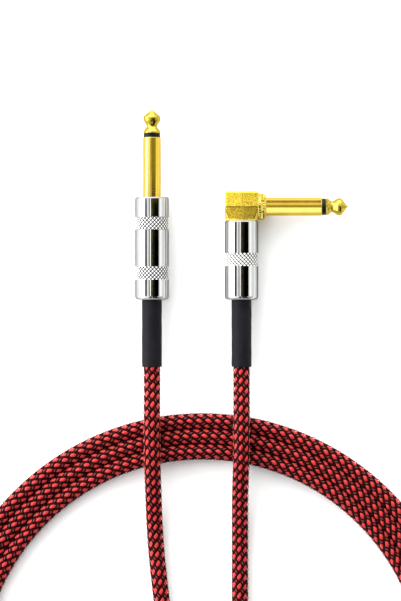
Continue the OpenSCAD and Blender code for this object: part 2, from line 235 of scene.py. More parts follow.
# Floor and lights, in metres and watts
FLOOR_HALF = 4.0
SOFTBOX_SIZE = 0.40
SOFTBOX_POWER = 4.0
LEFT_SOFTBOX = (-0.9, 0.10, 0.26)
TOP_SOFTBOX = (-0.35, 0.85, 0.30)

# Studio light as (start, end, colour) by degrees from straight up: towards +X over the barrels and
# over the straight shaft, and towards +Y over the side plug's shaft. A number stands for a grey.
FLAG_EDGE = 0.8
COOL = (1.75, 2.35, 2.8)
COOL_WHITE = (1.9, 2.7, 3.6)
NEUTRAL = (1.75, 1.75, 0.9)
AMBER = (0.45, 0.44, 0.05)
OLIVE = (0.83, 0.76, 0.30)
BARREL_FLAGS = [
    (-180, -100, 1.0), (-100, -90, 1.3), (-90, -80, 1.9), (-80, -47.5, 3.6), (-47.5, -34, 0.0),
    (-34, -20.5, 1.75), (-20.5, -13.5, 0.08), (-13.5, -6.5, 2.6), (-6.5, 8, 0.0), (8, 18, 0.03),
    (18, 49, 0.0), (49, 55, 1.3), (55, 72, 2.15), (72, 84, 1.6), (84, 100, 1.2), (100, 180, 1.1),
]
STRAIGHT_SHAFT_FLAGS = [
    (-180, -100, 1.3), (-100, -42, COOL), (-42, -30, COOL_WHITE), (-30, -18, 1.2), (-18, -6, OLIVE),
    (-6, 42, AMBER), (42, 55, OLIVE), (55, 92, NEUTRAL), (92, 104, 1.35), (104, 180, 0.8),
]
SIDE_SHAFT_FLAGS = [
    (-180, -112, 1.6), (-112, -90, 1.1), (-90, -72, COOL), (-72, -12, COOL_WHITE), (-12, 1, OLIVE),
    (1, 16, AMBER), (16, 30, 1.15), (30, 44, NEUTRAL), (44, 60, OLIVE), (60, 95, AMBER),
    (95, 120, 1.4), (120, 180, 1.6),
]

# Where the strips of studio lie, by the X or Y part of a direction, the low windows to the left and
# behind, and the dark card in front, each as (from, to, softness of its edges). The rest of the room
# has a level and a slope towards +X and +Y.
BARREL_STRIP_Y = (-0.12, 0.12, 0.03)
STRAIGHT_SHAFT_Y = (0.0268, 0.08, 0.0012)
SIDE_SHAFT_X = (0.009, 0.041, 0.004)
LEFT_WINDOW_X = (-2.0, -0.74, 0.08)
REAR_WINDOW_Y = (0.74, 2.0, 0.08)
WINDOW_LIGHT = 3.0
CARD_X = (-0.25, 0.6, 0.04)
CARD_Y = (-0.9, -0.03, 0.02)
CARD_GREY = (0.06, 0.06, 0.06)
ROOM_LEVEL = 1.85
ROOM_SLOPE = (-0.8, 0.9)
ROOM_LEAST = 0.3
BACKDROP = (0.96, 0.96, 0.96)


# ---- Meshes ----

def smoothstep(low, high, value):
    """0 up to low and 1 from high on, with an even bend between them."""
    t = np.clip((value - low) / (high - low), 0, 1)
    return t * t * (3 - 2 * t)


def zigzag(x):
    """1 at whole numbers and 0 halfway between them."""
    return np.abs(2 * (x - np.floor(x)) - 1)


def grid_faces(rows, columns, close_rows=False, close_columns=False):
    """Quads of a grid whose points are numbered row by row."""
    i = np.arange(rows if close_rows else rows - 1)[:, None]
    k = np.arange(columns if close_columns else columns - 1)[None, :]
    next_i = (i + 1) % rows
    next_k = (k + 1) % columns
    corners = [i * columns + k, i * columns + next_k, next_i * columns + next_k, next_i * columns + k]
    return np.stack([c.ravel() for c in corners], axis=1)


def combine(parts):
    """Joins (points, faces) pairs into one."""
    points, faces, count = [], [], 0
    for part_points, part_faces in parts:
        points.append(part_points)
        faces.append(part_faces + count)
        count += len(part_points)
    return np.concatenate(points), np.concatenate(faces)


def make_piece(name, shape, material, body, nodes, sharp_angle=32.0):
    """A mesh object from (points in mm, faces), which rides on a body and stands for CAD nodes."""
    points, faces = shape
    mesh = bpy.data.meshes.new(name)
    mesh.from_pydata((points * MM).tolist(), [], faces.tolist())
    mesh.validate()
    mesh.polygons.foreach_set("use_smooth", np.ones(len(mesh.polygons), bool))
    mesh.set_sharp_from_angle(angle=math.radians(sharp_angle))
    mesh.materials.append(material)
    piece = bpy.data.objects.new(name, mesh)
    bpy.context.scene.collection.objects.link(piece)
    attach(piece, body)
    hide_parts(*nodes)
    return piece


def turned(outline, place, segments=128, relief=None, closed=True):
    """A turned solid about local Z, from an outline of (radius, height).

    relief(angle, radius, height) is how far each point moves outwards.
    """
    radius, height = np.array(outline, float).T[:, :, None]
    angle = TURN * np.arange(segments)[None, :] / segments
    height = height + 0 * angle
    radius = radius + 0 * angle
    if relief is not None:
        radius = radius + relief(angle, radius, height)
    local = np.stack([radius * np.cos(angle), radius * np.sin(angle), height], axis=-1)
    points = transform(local.reshape(-1, 3), place)
    return points, grid_faces(len(outline), segments, close_rows=closed, close_columns=True)


def set_values(piece, name, values):
    """A number for each point of a mesh, which its material reads as an attribute."""
    layer = piece.data.attributes.new(name, "FLOAT", "POINT")
    layer.data.foreach_set("value", np.ravel(values).astype(np.float32))


def transform(points, place):
    """Points moved from a piece's own axes to the model's frame."""
    matrix = np.array(place)
    return points @ matrix[:3, :3].T + matrix[:3, 3]


def steps(start, end, size):
    """Evenly spaced heights from start to end, at most size apart."""
    count = max(1, math.ceil(abs(end - start) / size))
    return np.linspace(start, end, count + 1)


def wall(radius, start, end, size=1.0):
    """Rows of a straight wall, with one more row close to each end to keep its shading flat."""
    guard = 0.04 * np.sign(end - start)
    heights = [start, *steps(start + guard, end - guard, size), end]
    return [(radius, z) for z in heights]


def fine_wall(radius, start, end, size):
    """Rows of a wall that carries knurling, ribs or a thread."""
    return [(radius, z) for z in steps(start, end, size)]


def rounded(corner, radius, start_angle, end_angle, count=6):
    """Points of an arc round corner, with angles in degrees from the outward direction."""
    angles = np.radians(np.linspace(start_angle, end_angle, count))
    return [(corner[0] + radius * math.cos(a), corner[1] + radius * math.sin(a)) for a in angles]


def thread(radius, low, high, outward):
    """Relief of a right-hand screw thread on the wall of that radius between two heights."""
    def relief(angle, r, z):
        on_wall = np.abs(r - radius) < 0.01
        fade = smoothstep(low, low + PITCH, z) * (1 - smoothstep(high - PITCH, high, z))
        depth = THREAD_DEPTH * zigzag(z / PITCH - angle / TURN) * fade * on_wall
        return depth if outward else -depth
    return relief


def axes_at(position, angle, axis):
    """Axes of a turned piece, which stands along its own Z."""
    return Matrix.Translation(position) @ Matrix.Rotation(angle, 4, axis)


ON_STRAIGHT = axes_at((STRAIGHT_X, STRAIGHT_FRONT_Y, AXIS_Z), -math.pi / 2, "X")
ON_ANGLED = axes_at((0, ANGLED_FRONT_Y, AXIS_Z), -math.pi / 2, "X")
ON_SIDE = axes_at((COLLAR_FACE_X, SIDE_AXIS_Y, AXIS_Z), math.pi / 2, "Y")


# ---- Materials ----
# Noise scales are per metre and bump distances in metres.

def new_material(name):
    """A node material, its tree and its shader."""
    material = bpy.data.materials.new(name)
    material.use_nodes = True
    return material, material.node_tree, material.node_tree.nodes["Principled BSDF"]


def put(tree, kind, sockets=None, **settings):
    """Adds a node, sets its properties and fills its sockets."""
    node = tree.nodes.new(kind)
    for key, value in settings.items():
        setattr(node, key, value)
    fill_all(tree, node, sockets or {})
    return node


def fill(tree, socket, value):
    """Links a socket to another socket, or sets its value."""
    if isinstance(value, bpy.types.NodeSocket):
        tree.links.new(value, socket)
    else:
        socket.default_value = value


def fill_all(tree, node, sockets):
    """Fills a node's sockets, by name or number, with values or other sockets."""
    for key, value in sockets.items():
        fill(tree, node.inputs[key], value)


def calc(tree, operation, *values, clamp=False):
    """Result of a maths node."""
    node = put(tree, "ShaderNodeMath", dict(enumerate(values)), operation=operation)
    node.use_clamp = clamp
    return node.outputs[0]


def from_middle(tree, value):
    """Distance of a value's fraction from one half."""
    return calc(tree, "ABSOLUTE", calc(tree, "SUBTRACT", calc(tree, "FRACT", value), 0.5))


def ramp(tree, factor, stops):
    """Colour ramp from (position, grey or colour) stops."""
    node = put(tree, "ShaderNodeValToRGB", {"Fac": factor})
    elements = node.color_ramp.elements
    while len(elements) < len(stops):
        elements.new(1)
    for element, (position, value) in zip(elements, stops):
        element.position = position
        colour = (value, value, value) if isinstance(value, (int, float)) else value
        element.color = (*colour, 1)
    return node.outputs["Color"]


def blend_colour(tree, factor, first, second, blend_type="MIX"):
    """From the first colour at factor 0 to the second at factor 1."""
    node = put(tree, "ShaderNodeMix", data_type="RGBA", blend_type=blend_type)
    fill(tree, node.inputs[0], factor)
    for socket, value in ((node.inputs[6], first), (node.inputs[7], second)):
        fill(tree, socket, value if isinstance(value, bpy.types.NodeSocket) else (*value, 1))
    return node.outputs[2]


def place_coords(tree):
    """Coordinates in the model's frame, in metres, that stay with a piece when it moves."""
    return put(tree, "ShaderNodeTexCoord").outputs["Object"]


def noise(tree, coords, scale, detail=3.0, roughness=0.5):
    """Cloudy noise from 0 to 1."""
    sockets = {"Vector": coords, "Scale": scale, "Detail": detail, "Roughness": roughness}
    return put(tree, "ShaderNodeTexNoise", sockets).outputs["Fac"]


def stretched(tree, coords, scale):
    """Coordinates times a scale for each axis, for noise that runs in one direction."""
    return put(tree, "ShaderNodeMapping", {"Vector": coords, "Scale": scale}).outputs["Vector"]


def bump(tree, height, distance, strength=1.0):
    """Normal of a surface that rises by a distance where the height is 1."""
    sockets = {"Height": height, "Distance": distance, "Strength": strength}
    return put(tree, "ShaderNodeBump", sockets).outputs["Normal"]


def polished_gold(name, dark, light):
    """Bright plating with faint cloudiness."""
    material, tree, shader = new_material(name)
    coords = place_coords(tree)
    tone = noise(tree, coords, 300, 4)
    fine = noise(tree, coords, 2500, 2)
    fill_all(tree, shader, {
        "Base Color": ramp(tree, tone, [(0.3, dark), (0.7, light)]),
        "Roughness": ramp(tree, tone, [(0.3, 0.03), (0.8, 0.06)]),
        "Normal": bump(tree, fine, 0.000002),
        "Metallic": 0.97,
        "Specular Tint": (0.7, 0.55, 0.2, 1.0),
    })
    return material


def cast_gold():
    """Grainy casting with painted shade along its creases and parting line, from the painted crease
    shade values of its mesh.
    """
    material, tree, shader = new_material("cast_gold")
    coords = place_coords(tree)
    grain = noise(tree, coords, 2600, 4, 0.65)
    patch = noise(tree, coords, 420, 3)
    colour = ramp(tree, patch, [(0.3, (0.94, 0.62, 0.035)), (0.7, (1.0, 0.72, 0.08))])
    speck = ramp(tree, grain, [(0.40, 0.36), (0.6, 1.0)])
    colour = blend_colour(tree, 1.0, colour, speck, "MULTIPLY")
    painted_crease_shade = put(tree, "ShaderNodeAttribute", attribute_name="painted_crease_shade").outputs["Fac"]
    fill_all(tree, shader, {
        # Painted shade: creases and the parting line are blended towards dark brown
        "Base Color": blend_colour(tree, painted_crease_shade, colour, (0.05, 0.025, 0.002)),
        "Roughness": ramp(tree, grain, [(0.3, 0.5), (0.7, 0.34)]),
        "Normal": bump(tree, grain, 0.00006),
        "Metallic": 0.85,
    })
    return material


def chrome():
    """Mirror chrome, satin on knurled bands, and painted shade that makes their grooves black, from the
    mesh's values.

    The satin is mostly a plain pale skin with little gloss, so that the pattern reads clearly.
    """
    material, tree, shader = new_material("chrome")
    coords = place_coords(tree)
    smudge = noise(tree, coords, 160, 5, 0.6)
    lines = noise(tree, stretched(tree, coords, (4000, 300, 4000)), 1.0, 3)
    skin = ramp(tree, smudge, [(0.3, (0.42, 0.42, 0.415)), (0.7, (0.46, 0.46, 0.455))])
    knurl = put(tree, "ShaderNodeAttribute", attribute_name="knurl").outputs["Fac"]
    groove = put(tree, "ShaderNodeAttribute", attribute_name="groove").outputs["Fac"]
    skin = blend_colour(tree, knurl, skin, (0.97, 0.97, 0.95))
    smooth = ramp(tree, smudge, [(0.35, 0.02), (0.75, 0.05)])
    satin = calc(tree, "MULTIPLY", knurl, 0.8)
    fill_all(tree, shader, {
        # Painted shade: the knurl's grooves are blended to near black
        "Base Color": blend_colour(tree, groove, skin, (0.015, 0.015, 0.015)),
        "Roughness": blend_colour(tree, knurl, smooth, (0.5, 0.5, 0.5)),
        "Normal": bump(tree, lines, 0.000002),
        "Metallic": calc(tree, "SUBTRACT", 1.0, satin),
        "Specular Tint": (0.12, 0.12, 0.12, 1.0),
    })
    return material


def shrunk_sleeve():
    """Matte black plastic, a little uneven."""
    material, tree, shader = new_material("shrunk_sleeve")
    coords = place_coords(tree)
    mottle = noise(tree, coords, 350, 4)
    grain = noise(tree, coords, 3500, 2)
    tones = [(0.3, (0.0056, 0.0056, 0.0072)), (0.75, (0.0092, 0.0092, 0.0115))]
    fill_all(tree, shader, {
        "Base Color": ramp(tree, mottle, tones),
        "Roughness": ramp(tree, mottle, [(0.3, 0.5), (0.7, 0.62)]),
        "Normal": bump(tree, grain, 0.00001),
        "Specular IOR Level": 0.06,
    })
    return material


def yarn(name, stops, gloss, sheen=0.0, painted_glint=None):
    """Filament yarn: UV u runs along it and v across it, with the lozenge amid a cell of its own.

    The painted glint is the colour of a painted highlight, a short mark in the middle of each lozenge
    on its crest.
    """
    material, tree, shader = new_material(name)
    uv = put(tree, "ShaderNodeUVMap", uv_map="yarn").outputs["UV"]
    filaments = noise(tree, stretched(tree, uv, (0.5, 7.0, 1.0)), 1.0, 3, 0.6)
    colour = ramp(tree, filaments, stops)
    # Painted highlight: a small oval in the middle of each lozenge
    if painted_glint is not None:
        parts = put(tree, "ShaderNodeSeparateXYZ", {"Vector": uv}).outputs
        cell = calc(tree, "DIVIDE", parts["X"], UV_STEP)
        along = calc(tree, "DIVIDE", from_middle(tree, cell), PAINTED_GLINT_HALF[0])
        across = calc(tree, "DIVIDE", from_middle(tree, parts["Y"]), PAINTED_GLINT_HALF[1])
        reach = calc(tree, "ADD", calc(tree, "POWER", along, 2), calc(tree, "POWER", across, 2))
        mask = ramp(tree, reach, [(0.55, 1.0), (1.0, 0.0)])
        colour = blend_colour(tree, mask, colour, painted_glint)
    fill_all(tree, shader, {
        "Base Color": colour,
        "Roughness": ramp(tree, filaments, [(0.3, 0.5), (0.7, 0.66)]),
        "Normal": bump(tree, filaments, 0.00005, 0.8),
        "Specular IOR Level": gloss,
        "Specular Tint": (1.0, 0.72, 0.6, 1.0),
        "Sheen Weight": sheen,
        "Sheen Roughness": 0.35,
        "Sheen Tint": (1.0, 0.62, 0.5, 1.0),
    })
    return material


def woven_strap():
    """Black cloth with a little fuzz."""
    material, tree, shader = new_material("woven_strap")
    fuzz = noise(tree, place_coords(tree), 1800, 4, 0.7)
    fill_all(tree, shader, {
        "Base Color": ramp(tree, fuzz, [(0.3, 0.006), (0.75, 0.022)]),
        "Roughness": ramp(tree, fuzz, [(0.3, 0.75), (0.7, 0.95)]),
        "Normal": bump(tree, fuzz, 0.0001),
        "Sheen Weight": 0.08,
    })
    return material


def plain_surface(name, dark, light, rough, scale, depth, metallic=0.0, gloss=0.5):
    """A surface of two close tones with fine grain."""
    material, tree, shader = new_material(name)
    coords = place_coords(tree)
    mottle = noise(tree, coords, scale, 4)
    grain = noise(tree, coords, scale * 6, 2)
    fill_all(tree, shader, {
        "Base Color": ramp(tree, mottle, [(0.3, dark), (0.7, light)]),
        "Roughness": ramp(tree, mottle, [(0.3, rough), (0.7, rough + 0.12)]),
        "Normal": bump(tree, grain, depth),
        "Metallic": metallic,
        "Specular IOR Level": gloss,
    })
    return material


# By slot: dark tone, light tone, roughness, noise scale, bump distance, metallic and gloss
PLAIN_SURFACES = {
    "core": ((0.014, 0.0006, 0.001), (0.03, 0.001, 0.002), 0.8, 900, 0.00002, 0.0, 0.06),
    "black_insulator": (0.004, 0.008, 0.25, 500, 0.000004, 0.0, 0.08),
    "ivory_insulator": ((0.62, 0.57, 0.44), (0.72, 0.68, 0.56), 0.4, 400, 0.00001),
    "paper_washer": ((0.16, 0.07, 0.025), (0.26, 0.12, 0.05), 0.6, 900, 0.00003),
    "brass_lug": ((0.62, 0.38, 0.10), (0.78, 0.54, 0.18), 0.3, 500, 0.00001, 1.0),
    "copper": ((0.62, 0.24, 0.10), (0.80, 0.36, 0.18), 0.32, 1200, 0.00003, 1.0),
    "solder": ((0.42, 0.42, 0.43), (0.60, 0.60, 0.61), 0.3, 700, 0.00003, 1.0),
    "jacket": ((0.10, 0.006, 0.008), (0.16, 0.012, 0.014), 0.6, 500, 0.00002),
    "liner": ((0.70, 0.70, 0.67), (0.80, 0.80, 0.77), 0.4, 300, 0.00001),
}


def make_materials():
    """The material of each slot, and those of the tips, the cast elbow and the braid."""
    red = [(0.3, (0.31, 0.009, 0.012)), (0.7, (0.43, 0.014, 0.018))]
    black = [(0.3, (0.011, 0.0006, 0.0006)), (0.7, (0.023, 0.0012, 0.0012))]
    materials = {
        "gold_plate": polished_gold("polished_gold", (0.53, 0.362, 0.064), (0.57, 0.390, 0.078)),
        # Painted shade: the tips carry a darker copy of the same gold plating, so the bright tip balls
        # read darker
        "tip_gold_painted_shade": polished_gold("tip_gold_painted_shade", (0.36, 0.265, 0.034), (0.40, 0.295, 0.042)),
        "cast_gold": cast_gold(),
        "chrome": chrome(),
        "heatshrink": shrunk_sleeve(),
        "red_yarn": yarn("red_yarn", red, gloss=0.45, sheen=0.8),
        # The black yarn carries a painted highlight in the middle of each lozenge
        "black_yarn": yarn("black_yarn", black, gloss=0.05, painted_glint=(0.13, 0.04, 0.05)),
        "strap": woven_strap(),
    }
    for name, values in PLAIN_SURFACES.items():
        materials[name] = plain_surface(name, *values)
    return materials


# ---- Cord ----

def coil_points():
    """Clockwise from the straight plug's end on the inner turn to the outer turn."""
    gap = COIL_R[1] - COIL_R[0]
    points = []
    for degrees in np.arange(COIL_START, COIL_END - 1, -COIL_STEP):
        radius = COIL_R[0]
        for start, end in TURN_SHIFTS:
            radius += gap * smoothstep(0, 1, (start - degrees) / (start - end))
        turn = math.radians(degrees)
        x = COIL_CENTRE[0] + radius * math.cos(turn)
        y = COIL_CENTRE[1] + radius * math.sin(turn)
        points.append((x, y, COIL_Z))
    return points


def evenly(line, spacing):
    """The same line in equal steps of about that spacing, and the distance along it."""
    run = np.concatenate([[0], np.cumsum(np.linalg.norm(np.diff(line, axis=0), axis=1))])
    count = round(run[-1] / spacing)
    along = np.linspace(0, run[-1], count + 1)
    return np.stack([np.interp(along, run, line[:, i]) for i in range(3)], axis=1), along


def cord_line():
    """Centreline of the whole free cord, from one shrunk sleeve to the other."""
    ends = [(x, y + CORD_INSIDE, z) for x, y, z in (STRAIGHT_ROUTE[0], ANGLED_ROUTE[0])]
    line = np.array([ends[0], *STRAIGHT_ROUTE, *coil_points(), *ANGLED_ROUTE[::-1], ends[1]], float)
    line, _ = evenly(line, CORD_SPACING)
    for _ in range(SMOOTHING_PASSES):
        line[1:-1] = 0.25 * line[:-2] + 0.5 * line[1:-1] + 0.25 * line[2:]
    return evenly(line, CORD_SPACING)


def cord_frames(line):
    """Unit vectors along the cord, up from it and to its side, at each point."""
    along = np.gradient(line, axis=0)
    along /= np.linalg.norm(along, axis=1)[:, None]
    up = np.array([0, 0, 1.0]) - along * along[:, 2:3]
    up /= np.linalg.norm(up, axis=1)[:, None]
    return along, up, np.cross(along, up)


def on_cord(distance, angle, radius, along, line, frames):
    """Points at a distance along the cord, an angle round it and a radius out from its axis."""
    centre, up, side = [
        np.stack([np.interp(distance, along, field[:, i]) for i in range(3)], axis=-1)
        for field in (line, frames[1], frames[2])
    ]
    out = up * np.cos(angle)[..., None] + side * np.sin(angle)[..., None]
    return centre + out * radius[..., None]


def lozenge_places(first_distance, length):
    """Distance along the cord and column of each lozenge, leaving out those at its very ends."""
    rows = np.arange(-1, int(length / BRAID_PITCH) + 2)
    column, row = [a.ravel() for a in np.meshgrid(np.arange(COLUMNS), rows)]
    distance = first_distance + row * BRAID_PITCH - column * BRAID_PITCH / COLUMNS
    keep = (distance > CORD_END_GAP) & (distance < length - CORD_END_GAP)
    return distance[keep][:, None], column[keep][:, None]


def lozenges(step, cross_step, half_size, first_angle, first_distance, cord):
    """Every visible pillow of one yarn direction: points, faces and UVs.

    The yarn runs along step, which is (mm round the cord, mm along it), rises over the crossing
    in each pillow, and its pillows are cut off parallel to cross_step, the other yarn.
    """
    half_length, half_width = half_size
    line, along, frames = cord
    reach = math.hypot(*step)
    run_way = np.array(step) / reach
    side_way = np.array(cross_step) / math.hypot(*cross_step)
    run = np.linspace(-half_length, half_length, LENGTH_POINTS)
    side = np.linspace(-half_width, half_width, WIDTH_POINTS)
    run, side = [a.ravel() for a in np.meshgrid(run, side, indexing="ij")]
    side = side * (1 - YARN_TAPER * (run / half_length) ** 2)
    rise = YARN_WAVE * np.cos(math.pi * run / reach) - YARN_ROUNDING * side ** 2
    distance, column = lozenge_places(first_distance, along[-1])
    round_cord = (run * run_way[0] + side * side_way[0]) / (CORD_D / 2)
    angle = first_angle + TURN * column / COLUMNS + round_cord
    distance = distance + run * run_way[1] + side * side_way[1]
    points = on_cord(distance, angle, YARN_MID_R + rise + 0 * angle, along, line, frames)
    number = np.arange(len(distance))[:, None]
    single = grid_faces(LENGTH_POINTS, WIDTH_POINTS)
    faces = (single[None] + LENGTH_POINTS * WIDTH_POINTS * number[:, :, None]).reshape(-1, 4)
    u = UV_STEP * (number + 0.5) + run
    v = side / (4 * half_width) + 0.5 + number % UV_ROWS
    return points.reshape(-1, 3), faces, np.stack([u, v], axis=-1).reshape(-1, 2)


def core_tube(cord):
    """Dark tube under the yarns, whose rings have the cord's centreline as their centres."""
    line, along, frames = cord
    angle = TURN * np.arange(CORE_SIDES)[None, :] / CORE_SIDES + 0 * along[:, None]
    distance = along[:, None] + 0 * angle
    points = on_cord(distance, angle, CORE_R + 0 * angle, along, line, frames)
    return points.reshape(-1, 3), grid_faces(len(along), CORE_SIDES, close_columns=True)


def set_uvs(piece, uv_by_point):
    """UVs for a mesh's corners, from those of its points."""
    layer = piece.data.uv_layers.new(name="yarn")
    corner_point = np.zeros(len(piece.data.loops), int)
    piece.data.loops.foreach_get("vertex_index", corner_point)
    layer.data.foreach_set("uv", uv_by_point[corner_point].astype(np.float32).ravel())


def make_cord(materials):
    """The cord, with its core and black yarn in one piece and its red yarn in another."""
    line, along = cord_line()
    cord = (line, along, cord_frames(line))
    half_step = math.pi * CORD_D / COLUMNS / 2
    red_climb = BRAID_PITCH * (1 / 2 - BRAID_LEAN)
    black_climb = BRAID_PITCH * (1 / 2 + BRAID_LEAN)
    red_step = (half_step, red_climb)
    black_step = (-half_step, black_climb)
    black_angle = FIRST_ANGLE + half_step / (CORD_D / 2)
    black_distance = FIRST_DISTANCE + red_climb
    red = lozenges(red_step, black_step, RED_HALF, FIRST_ANGLE, FIRST_DISTANCE, cord)
    black = lozenges(black_step, red_step, BLACK_HALF, black_angle, black_distance, cord)
    core = core_tube(cord)
    red_piece = make_piece(
        "cord_red_yarn", red[:2], materials["red_yarn"], "cable", [], sharp_angle=180
    )
    set_uvs(red_piece, red[2])
    cord_piece = make_piece(
        "cord", combine([core, black[:2]]), materials["core"], "cable",
        ["cord_leg_straight", "cord_coil", "cord_leg_angled"], sharp_angle=180,
    )
    cord_piece.data.materials.append(materials["black_yarn"])
    is_yarn = np.zeros(len(cord_piece.data.polygons), np.int32)
    is_yarn[len(core[1]):] = 1
    cord_piece.data.polygons.foreach_set("material_index", is_yarn)
    set_uvs(cord_piece, np.concatenate([np.zeros((len(core[0]), 2)), black[2]]))
    return cord_piece, red_piece, line, along


# ---- Plugs ----

def knurled(bands, r, z):
    """True on the knurled bands of a barrel's skin."""
    in_a_band = sum((z <= -start) & (z >= -start - KNURL_LENGTH) for start in bands)
    return (in_a_band > 0) & (r > BARREL_R - 0.01)


def knurl_depth(cross_cut, angle, z):
    """Diamond knurling from 0 on the flats to 1 in two crossing sets of V grooves."""
    pitch = TURN * BARREL_R / KNURL_STARTS
    a = angle * KNURL_STARTS / TURN + z / pitch
    b = angle * KNURL_STARTS / TURN - z / pitch
    deepest = np.maximum(zigzag(a), cross_cut * zigzag(b))
    return np.clip((deepest - KNURL_FLAT) / (1 - KNURL_FLAT), 0, 1)


def barrel_outline(length, bands, stub, mouth, thread_top):
    """Closed outline of a bored barrel, from the rear exit round the outside and back inside."""
    fine = TURN * BARREL_R / (KNURL_STARTS * SAMPLES_PER_KNURL)
    outline = [(EXIT_R, -length + 0.2), (EXIT_R + 0.2, -length)]
    outline += rounded((BARREL_R - REAR_ROUND, -length + REAR_ROUND), REAR_ROUND, -90, 0, 9)
    height = -length + REAR_ROUND
    for start in sorted(bands, reverse=True):
        band_rear = -start - KNURL_LENGTH
        outline += wall(BARREL_R, height + 2 * BAND_GAP, band_rear - BAND_GAP, LONG_STEP)
        outline += fine_wall(BARREL_R, band_rear, -start, fine)
        height = -start + BAND_GAP
    outline += wall(BARREL_R, height, -FRONT_CHAMFER - BAND_GAP, LONG_STEP)
    outline += [(BARREL_R - 0.03, -FRONT_CHAMFER + 0.05), (BARREL_R - FRONT_CHAMFER + 0.05, -0.03)]
    front_bore = CHAMBER_R if mouth else THREAD_BORE_R
    outline += [(BARREL_R - FRONT_CHAMFER, 0), (front_bore + 0.1, 0), (front_bore, -0.1)]
    if mouth:
        outline += [(CHAMBER_R, -MOUTH)]
    outline += fine_wall(THREAD_BORE_R, thread_top, -stub, THREAD_STEP)
    outline += [(CHAMBER_R, -stub), (CHAMBER_R, -length + REAR_WALL), (EXIT_R, -length + REAR_WALL)]
    return outline


def make_barrel(side, place, length, bands, stub, materials):
    """Chromed barrel with knurled bands, which carries how deep its grooves are as mesh values, for the
    painted shade in them.
    """
    mouth = side == "straight"
    thread_top = -MOUTH if mouth else -THREAD_FRONT
    screw = thread(THREAD_BORE_R, -stub, thread_top, outward=True)
    found = {}

    def relief(angle, r, z):
        found["knurl"] = knurled(bands, r, z)
        found["groove"] = knurl_depth(KNURL_CROSS_CUT[side], angle, z) * found["knurl"]
        return screw(angle, r, z) - KNURL_DEPTH * found["groove"]

    outline = barrel_outline(length, bands, stub, mouth, thread_top)
    shape = turned(outline, place, KNURL_STARTS * SAMPLES_PER_KNURL, relief=relief)
    piece = make_piece(
        f"{side}_chromed_barrel", shape, materials["chrome"], f"{side}_barrel_body",
        [f"{side}_barrel"], sharp_angle=28,
    )
    set_values(piece, "knurl", found["knurl"])
    # Painted shade in the grooves, rising with their depth
    set_values(piece, "groove", smoothstep(0.12, 0.5, found["groove"]))


def tip_outline(shaft, rod_rear):
    """Rivet, rod, flange, neck, ball and cone in one outline that starts and ends on the axis."""
    base = shaft * (SLEEVE_SHARE + RING_SHARE)
    length = shaft - base
    outline = [(0, rod_rear), (RIVET_R - 0.2, rod_rear), (RIVET_R, rod_rear + 0.2)]
    outline += [(RIVET_R, rod_rear + RIVET_LENGTH - 0.1), (ROD_R, rod_rear + RIVET_LENGTH)]
    outline += [(ROD_R, base), (FLANGE_R - 0.15, base), (FLANGE_R, base + 0.12)]
    outline += [(FLANGE_R, base + FLANGE_LENGTH - 0.12), (FLANGE_R - 0.1, base + FLANGE_LENGTH)]
    for u in np.linspace(0, 1, 12)[1:]:
        radius = NECK_R + (FLANGE_R - 0.15 - NECK_R) * (1 - smoothstep(0, 1, u))
        outline.append((radius, base + FLANGE_LENGTH + u * (NECK_SHARE * length - FLANGE_LENGTH)))
    for u in np.linspace(0, 1, 16)[1:]:
        radius = NECK_R + (BALL_R - NECK_R) * smoothstep(0, 1, u)
        outline.append((radius, base + (NECK_SHARE + (BALL_SHARE - NECK_SHARE) * u) * length))
    shoulder = base + SHOULDER_SHARE * length
    outline += [(BALL_R, shoulder - 0.35), (BALL_R - 0.05, shoulder - 0.18), (BALL_R - 0.16, shoulder)]
    outline += [(radius, base + share * length) for radius, share in POINT]
    return outline + [(0, shaft)]


def make_shaft(side, place, shaft, rod_rear, materials):
    """A plug's tip and its insulating ring."""
    ring_low = shaft * SLEEVE_SHARE
    ring_high = shaft * (SLEEVE_SHARE + RING_SHARE)
    tip = turned(tip_outline(shaft, rod_rear), place, closed=False)
    make_piece(
        f"{side}_tip", tip, materials["tip_gold_painted_shade"], "cable", [f"{side}_tip_contact"],
    )
    ring = [(ROD_R + 0.05, ring_low), (RING_R - 0.12, ring_low), (RING_R, ring_low + 0.1)]
    ring += [(RING_R, ring_high - 0.1), (RING_R - 0.12, ring_high), (ROD_R + 0.05, ring_high)]
    make_piece(
        f"{side}_tip_ring", turned(ring, place), materials["black_insulator"], "cable",
        [f"{side}_tip_insulator"],
    )


def sleeve_wall(shaft):
    """Outside of the ground sleeve from its root to its rounded end, and its bore's top edge."""
    top = shaft * SLEEVE_SHARE
    outline = wall(SLEEVE_R, 0.02, top - 0.15, 4.0)
    outline += rounded((SLEEVE_R - 0.12, top - 0.12), 0.12, 0, 90, 4)
    return outline + [(SLEEVE_BORE_R, top)]


def make_straight_sleeve(materials):
    """Ground sleeve with its flange and the threaded stub behind it."""
    thread_top = -STUB_FLANGE_LENGTH
    outline = [(SLEEVE_BORE_R, -STRAIGHT_STUB), (STUB_R - 0.2, -STRAIGHT_STUB)]
    outline += fine_wall(STUB_R, -STRAIGHT_STUB + 0.2, thread_top, THREAD_STEP)
    outline += [(STUB_FLANGE_R, thread_top), (STUB_FLANGE_R, -0.1), (STUB_FLANGE_R - 0.1, 0)]
    outline += [(SLEEVE_R + 0.1, 0)] + sleeve_wall(STRAIGHT_SHAFT)
    screw = thread(STUB_R, -STRAIGHT_STUB, thread_top, outward=False)
    make_piece(
        "straight_sleeve", turned(outline, ON_STRAIGHT, relief=screw), materials["gold_plate"], "cable",
        ["straight_ground_sleeve"],
    )


def collar_ribs(angle, r, z):
    """Relief of the grooves between the collar's ribs, in front of its plain rim."""
    on_ribs = (z > -COLLAR_LENGTH + 0.9) & (r > SLEEVE_R + 0.4)
    return -RIB_DEPTH * zigzag(angle * COLLAR_RIBS / TURN) * on_ribs


